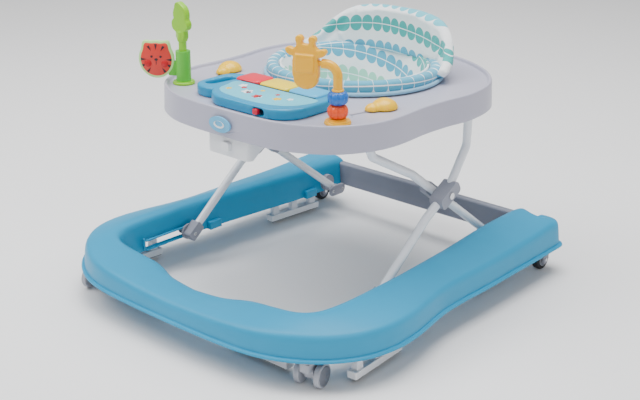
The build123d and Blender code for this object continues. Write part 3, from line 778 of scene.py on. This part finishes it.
def make_seat_liner():
    """The inner seat: a quilted cup with two leg holes in its front wall and stitched seams."""
    rows = []
    for level in range(31):
        depth = level / 30
        rows.append([liner_point(-math.pi + 2 * math.pi * k / 144, depth) for k in range(144)])
    for share in (0.82, 0.6, 0.35, 0.12):
        low = 262.5 + share * share * 2
        rows.append([(x * share, SEAT_Y + (y - SEAT_Y) * share, low) for x, y, z in rows[30]])
    liner = grid_piece("seat_liner", rows, POCKET_CLOTH, "tray", close_columns=True)
    fill_last = bpy.data.meshes.new("liner")
    points = [v.co / MM for v in liner.data.vertices]
    faces = [tuple(f.vertices) for f in liner.data.polygons]
    faces.append(tuple(range(len(points) - 144, len(points))))
    fill_last.from_pydata([p * MM for p in points], [], faces)
    fill_last.materials.append(POCKET_CLOTH)
    fill_last.polygons.foreach_set("use_smooth", [True] * len(fill_last.polygons))
    liner.data = fill_last
    thick = liner.modifiers.new("padding", "SOLIDIFY")
    thick.thickness = 0.0035
    thick.offset = -1
    for word, side in SIDES.items():
        hole = liner.modifiers.new(f"leg_{word}", "BOOLEAN")
        hole.object = leg_cutter(f"leg_cutter_{word}", side)
        hole.solver = "EXACT"
    apply_modifiers(liner)
    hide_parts("seat_pocket")
    back_seam = [liner_point(0, k / 40, 1.6) for k in range(3, 41)]
    cross_seam = [liner_point(math.radians(a), 0.04, 1.6) for a in range(-100, 101, 4)]
    for name, path in (("back_seam", back_seam), ("cross_seam", cross_seam)):
        grid_piece(f"seat_{name}", tube_rows(path, 0.9, 8), SEAM_TEAL, "tray",
                   close_columns=True, caps=True)
    for word, side in SIDES.items():
        rim = []
        for k in range(48):
            a = 2 * math.pi * k / 48
            x = side * LEG_HOLE_X + LEG_HOLE_RADIUS * math.cos(a)
            z = LEG_HOLE_Z + LEG_HOLE_RADIUS * math.sin(a)
            depth = (MOUTH_Z - z) / POCKET_DEEP
            rx, ry = 138.5 - POCKET_TAPER * depth, 131.5 - POCKET_TAPER * depth
            rim.append((x, SEAT_Y - ry * math.sqrt(max(0.05, 1 - (x / rx) ** 2)), z))
        rows = tube_rows(rim + rim[:2], 2.2, 10)[1:-1]
        grid_piece(f"leg_hole_binding_{word}", rows, PIPING, "tray", close_rows=True,
                   close_columns=True)


def leg_cutter(name, side):
    """A hidden bar that cuts one leg hole."""
    rows = []
    for y in (SEAT_Y - 150, SEAT_Y - 30):
        rows.append([(side * LEG_HOLE_X + LEG_HOLE_RADIUS * math.cos(a), y,
                      LEG_HOLE_Z + LEG_HOLE_RADIUS * math.sin(a))
                     for a in (2 * math.pi * k / 40 for k in range(40))])
    faces = grid_faces(2, 40, False, True) + [tuple(range(40))[::-1], tuple(range(40, 80))]
    mesh = bpy.data.meshes.new(name)
    mesh.from_pydata([Vector(p) * MM for row in rows for p in row], [], faces)
    cutter = bpy.data.objects.new(name, mesh)
    bpy.context.scene.collection.objects.link(cutter)
    return cutter


# ---------------------------------------------------------------- play panel
def make_panel():
    """Softened panel body, a printed sheet in front of the keys, crowned keys and seam line."""
    softened("panel_case", "panel_body", PANEL_BLUE, "tray", 2.2, 7)
    sheet = [(118, -118), (112, -150), (92, -172), (58, -184), (10, -186), (-34, -180), (-58, -166),
             (-66, -142), (-64, -112), (20, -110), (100, -109)]
    rows = []
    for z, shrink in ((PANEL_TOP - 1, 1.0), (PANEL_TOP + 0.5, 1.0), (PANEL_TOP + 0.8, 0.985)):
        rows.append([(25 + (x - 25) * shrink, -145 + (y + 145) * shrink, z)
                     for x, y in spline(sheet, 6, True)])
    grid_piece("panel_sheet", rows, SKY, "tray", close_columns=True, caps=True)
    rows = tube_rows([(-66, -106.5, PANEL_TOP), (20, -106.5, PANEL_TOP), (104, -106.5, PANEL_TOP)], 1.0, 8)
    grid_piece("panel_seam", rows, INK, "tray", close_columns=True, caps=True)
    prints = [(-40, -128, 7, WHITE), (-30, -136, 5, CHEEK_RED), (-8, -150, 9, WHITE),
              (-4, -152, 5, CHEEK_RED), (24, -160, 8, CHEEK_RED), (30, -160, 4, WHITE),
              (60, -150, 7, PALE_YELLOW), (78, -138, 5, WHITE), (-46, -156, 5, PALE_YELLOW),
              (44, -132, 4, CHEEK_RED), (8, -130, 4, PALE_YELLOW)]
    for k, (x, y, r, material) in enumerate(prints):
        petals = []
        for shrink, z in ((1.0, PANEL_TOP + 0.4), (1.0, PANEL_TOP + 1), (0.9, PANEL_TOP + 1.1)):
            petals.append([(x + r * shrink * (1 + 0.22 * math.cos(5 * a)) * math.cos(a),
                            y + r * shrink * (1 + 0.22 * math.cos(5 * a)) * math.sin(a), z)
                           for a in (2 * math.pi * n / 40 for n in range(40))])
        grid_piece(f"panel_print_{k}", petals, material, "tray", close_columns=True, caps=True)
    keys = (("key_red", KEY_PINK, "key_pink"), ("key_yellow", KEY_YELLOW, "key_yellow"),
            ("key_blue", KEY_SKY, "key_sky"))
    for node, material, slot in keys:
        low, high = (Vector(v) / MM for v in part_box(node))
        make_key(f"{node}_cap", low, high, material, node)
        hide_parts(node)


def make_key(name, low, high, material, body):
    """One key with rounded edges and a gently crowned top."""
    centre = (low + high) / 2
    power = 0.28
    rows = []
    wide, deep = (high.x - low.x) / 2, (high.y - low.y) / 2
    for inset, z in ((0, low.z), (0, high.z - 3.5), (0.6, high.z - 1.4), (2, high.z), (6, high.z + 0.9),
                     (13, high.z + 1.6), (20, high.z + 1.9)):
        ring = []
        for k in range(48):
            a = 2 * math.pi * k / 48
            u = math.copysign(abs(math.cos(a)) ** power, math.cos(a)) * (wide - inset)
            v = math.copysign(abs(math.sin(a)) ** power, math.sin(a)) * (deep - inset)
            ring.append((centre.x + u, centre.y + v, z))
        rows.append(ring)
    return grid_piece(name, rows, material, body, close_columns=True, caps=True)


# ---------------------------------------------------------------- toys
def flat_plate(name, rim, half, material):
    """A thin plate with eased edges on the spinning sleeve; rim holds (outward, z) points round it."""
    mid = sum(p[0] for p in rim) / len(rim)
    cz = sum(p[1] for p in rim) / len(rim)
    turn = math.radians(PLATE_TURN)
    rows = []
    for y, shrink in ((-half, 0.97), (0.7 - half, 1.0), (half - 0.7, 1.0), (half, 0.97)):
        ring = []
        for x, z in rim:
            u = mid + (x - mid) * shrink
            ring.append((-TOY_X + u * math.cos(turn) - y * math.sin(turn),
                         TOY_Y + u * math.sin(turn) + y * math.cos(turn), cz + (z - cz) * shrink))
        rows.append(ring)
    return grid_piece(name, rows, material, "animal_spinner", close_columns=True, caps=True)


def disc_rim(cx, cz, rx, rz, count=32):
    """Points round an upright oval."""
    return [(cx + rx * math.cos(a), cz + rz * math.sin(a))
            for a in (2 * math.pi * k / count for k in range(count))]


def make_toys():
    """Beads, the giraffe's head, the tree, the spinning cat face and the sliding bugs."""
    profile = [(7, 0), (10, 0.3), (13.8, 2.3), (16.3, 6), (17, 10.8), (16.3, 15.6), (13.8, 19.3),
               (10, 21.3), (7, 21.6)]
    for colour, material, z in (("orange", ORANGE, 379.3), ("blue", BLUE, 401.2)):
        node = f"bead_{colour}"
        bead = lathe(f"{node}_fluted", profile, (TOY_X, TOY_Y, z), material, node,
                     sides=96, flute=0.13, flutes=8)
        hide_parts(node)
    softened("giraffe_head", "giraffe_face", YELLOW, "giraffe_head", 1.5, 8)
    softened("tree_crown", "tree_leaves", LIME, "tray", 1.4, 6)
    lathe("giraffe_collar", [(8.2, 0), (9.6, 1), (9.6, 3.4), (8.2, 4.4)], (TOY_X, TOY_Y, 421.6), YELLOW,
          "tray")
    for word in SIDES:
        node = f"slider_toy_{word}"
        softened(node, f"bug_{word}", PALE_YELLOW, node, 1.5, 3)
    lathe("giraffe_foot", [(21, 0), (21.5, 1.5), (21, 4.5), (17, 6.4), (15, 6.6)],
          (TOY_X, TOY_Y, TRAY_FLOOR), YELLOW, "tray")
    lathe("tree_foot", [(19, 0), (19.5, 1.5), (19, 4), (15, 5), (13, 5.1)],
          (-TOY_X, TOY_Y, TRAY_FLOOR), LIME, "tray")
    rim = []
    for k in range(96):
        a = 2 * math.pi * k / 96
        ears = math.exp(-((a - 0.95) / 0.22) ** 2) + math.exp(-((a - 2.2) / 0.22) ** 2)
        rim.append((math.cos(a) * (1 + 0.2 * ears) * 0.95, math.sin(a) * (1 + 0.2 * ears)))
    cx, cz = -47, 412
    flat_plate("cat_rim", [(cx + 33 * x, cz + 33 * z) for x, z in rim], 3.6, PALE_GREEN)
    flat_plate("cat_face", [(cx + 29 * x, cz + 29 * z) for x, z in rim], 4.6, PLATE_RED)
    marks = []
    for angle in (60, 90, 120, 180, 205, 0, -25, 235, 305):
        a = math.radians(angle)
        tip, root, half = 17, 27.5, 0.09
        marks.append([(cx + tip * math.cos(a), cz + tip * math.sin(a)),
                      (cx + root * math.cos(a - half), cz + root * math.sin(a - half)),
                      (cx + root * math.cos(a + half), cz + root * math.sin(a + half))])
    marks.append(disc_rim(cx - 8, cz + 5, 2.2, 2.2, 16))
    marks.append(disc_rim(cx + 8, cz + 5, 2.2, 2.2, 16))
    marks.append(disc_rim(cx, cz, 3.2, 2.4, 16))
    marks.append([(cx - 0.6, cz), (cx + 0.6, cz), (cx + 0.6, cz - 9), (cx - 0.6, cz - 9)])
    for k, mark in enumerate(marks):
        flat_plate(f"cat_mark_{k}", mark, 5.0, INK)
    for k, way in enumerate((-1, 1)):
        cheek = disc_rim(cx + way * 15, cz - 7, 6.5, 6.5)
        flat_plate(f"cat_cheek_{k}", cheek, 5.1, CHEEK_RED)


# ---------------------------------------------------------------- small fittings
def screw(name, spot, way, body, radius=3.4):
    """A round screw head facing along X, with a thin black cross standing on it as painted shade for its cross
    recess.
    """
    profile = [(radius, 0), (radius, way * 0.8), (radius * 0.75, way * 1.5), (radius * 0.3, way * 1.7)]
    lathe(name, profile, spot, STEEL, body, axis="X", sides=24)
    x, y, z = spot
    # Painted shade: the cross recess is drawn as a thin black cross laid on the head, not cut into it.
    for k, size in enumerate(((0.5, radius * 1.2, 0.7), (0.5, 0.7, radius * 1.2))):
        rounded_box(f"{name}_cross_{k}", (x + way * 1.8, y, z), size, 0.2, INK, body)


def make_fittings():
    """Screws, wheel faces, the badge's mark and the arc on the tray's skirt."""
    for word, side in SIDES.items():
        screw(f"hub_screw_{word}", (side * 238, 91.5, 200.6), side, "frame_b", 4)
        screw(f"foot_screw_{word}", (side * 214.5, SLIDER_Y, PIVOT_Z), -side, "frame_b")
        rim = []
        for k in range(48):
            a = 2 * math.pi * k / 48
            end = 14 * math.copysign(1, math.sin(a)) * 0.9
            rim.append((REAR_PIVOT_Y + end + 11 * math.sin(a), REAR_PIVOT_Z + 11 * math.cos(a)))
        rows = []
        for x, shrink in ((187, 0.95), (186, 1.0), (183.5, 1.0), (182.5, 0.93)):
            rows.append([(side * x, REAR_PIVOT_Y + (y - REAR_PIVOT_Y) * shrink,
                          REAR_PIVOT_Z + (z - REAR_PIVOT_Z) * shrink) for y, z in rim])
        grid_piece(f"rear_link_{word}", rows, GREY, "base", close_columns=True, caps=True)
        for k, y in enumerate((262, 290)):
            spot = (side * 182.5, y, REAR_PIVOT_Z)
            screw(f"rear_screw_{k}_{word}", spot, -side, "base", 2.8)
        turn = math.radians(FRONT_CASTER_TURN)
        low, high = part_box(f"wheels_front_{word}")
        centre = (low + high) / 2 / MM
        for k, way in enumerate((-1, 1)):
            rows = []
            axis = Vector((math.cos(turn), math.sin(turn), 0)) * way
            side_way = Vector((-math.sin(turn), math.cos(turn), 0))
            for r, out in ((16.5, 22.8), (16.5, 23.5), (14, 23.9), (6, 23.9), (5, 24.9), (3, 25.2)):
                rows.append([centre + axis * out + side_way * r * math.cos(a)
                             + Vector((0, 0, r * math.sin(a)))
                             for a in (2 * math.pi * n / 40 for n in range(40))])
            grid_piece(f"wheel_face_{k}_{word}", rows, WHEEL_DARK, f"front_wheels_{word}",
                       close_columns=True, caps=True)
        low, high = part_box(f"wheel_rear_{word}")
        centre = (low + high) / 2 / MM
        for k, way in enumerate((-1, 1)):
            profile = [(12.5, way * 7.6), (12.5, way * 8.4), (10.5, way * 8.6), (9.5, way * 8.2),
                       (5, way * 8.3)]
            lathe(f"rear_hub_ring_{k}_{word}", profile, centre, WHEEL_DARK, f"rear_wheel_{word}",
                  axis="X")
    path = []
    for k in range(41):
        x = -66 + 132 * k / 40
        path.append((x, -217.6 + 0.0009 * x * x - 0.4 * (1 - abs(x) / 66), 336.5 + 27 * (x / 66) ** 2))
    grid_piece("skirt_arc", tube_rows(path, 1.3, 8), TRAY_GREY, "tray",
               close_columns=True, caps=True)
    mark = disc_rim(0, 351, 12, 6, 40)
    inner = disc_rim(0, 352.5, 9, 4.6, 40)
    back, face = -223.6, -224.4
    loops = ((mark, back), (mark, face), (inner, face), (inner, back))
    rows = [[(x, y, z) for x, z in rim] for rim, y in loops]
    grid_piece("badge_mark", rows, WHITE, "tray", close_rows=True, close_columns=True)


# ---------------------------------------------------------------- stage
def make_stage():
    """Pale floor, soft studio light and the camera."""
    size = 30
    mesh = bpy.data.meshes.new("floor")
    corners = [(-size, -size, 0), (size, -size, 0), (size, size, 0), (-size, size, 0)]
    mesh.from_pydata(corners, [], [(0, 1, 2, 3)])
    floor = bpy.data.objects.new("floor", mesh)
    bpy.context.scene.collection.objects.link(floor)
    material, tree, node = shader("studio_floor")
    tone = mix_colour(tree, noise(tree, 0.6, 2), (0.88, 0.88, 0.89, 1), (0.92, 0.92, 0.925, 1))
    tree.links.new(tone, node.inputs["Base Color"])
    node.inputs["Roughness"].default_value = 0.55
    mesh.materials.append(material)
    world = bpy.data.worlds.new("studio")
    bpy.context.scene.world = world
    world.use_nodes = True
    world.node_tree.nodes["Background"].inputs["Color"].default_value = (1, 1, 1, 1)
    world.node_tree.nodes["Background"].inputs["Strength"].default_value = 0.5
    lights = (("key", (-1.4, -1.4, 2.6), 1.8, 60), ("fill", (2.4, -1.2, 1.8), 2.0, 16),
              ("top", (0, 0.3, 3.0), 2.4, 130))
    for name, spot, size, power in lights:
        light = bpy.data.lights.new(name, "AREA")
        light.size = size
        light.energy = power
        lamp = bpy.data.objects.new(name, light)
        lamp.location = spot
        lamp.rotation_euler = (Vector((0, 0, 0.2)) - Vector(spot)).to_track_quat("-Z", "Y").to_euler()
        bpy.context.scene.collection.objects.link(lamp)
    lens = bpy.data.cameras.new("camera")
    lens.lens = 69.27
    lens.sensor_width = 36
    lens.clip_end = 100
    camera = bpy.data.objects.new("camera", lens)
    camera.location = (1.3981, -1.5244, 0.9385)
    aim = Vector((0.0691, -0.0570, 0.192))
    camera.rotation_euler = (aim - camera.location).to_track_quat("-Z", "Y").to_euler()
    bpy.context.scene.collection.objects.link(camera)
    bpy.context.scene.camera = camera


dress_cad()
make_base()
make_tray()
make_seat_roll()
make_seat_back()
make_seat_liner()
make_panel()
make_toys()
make_fittings()
make_stage()
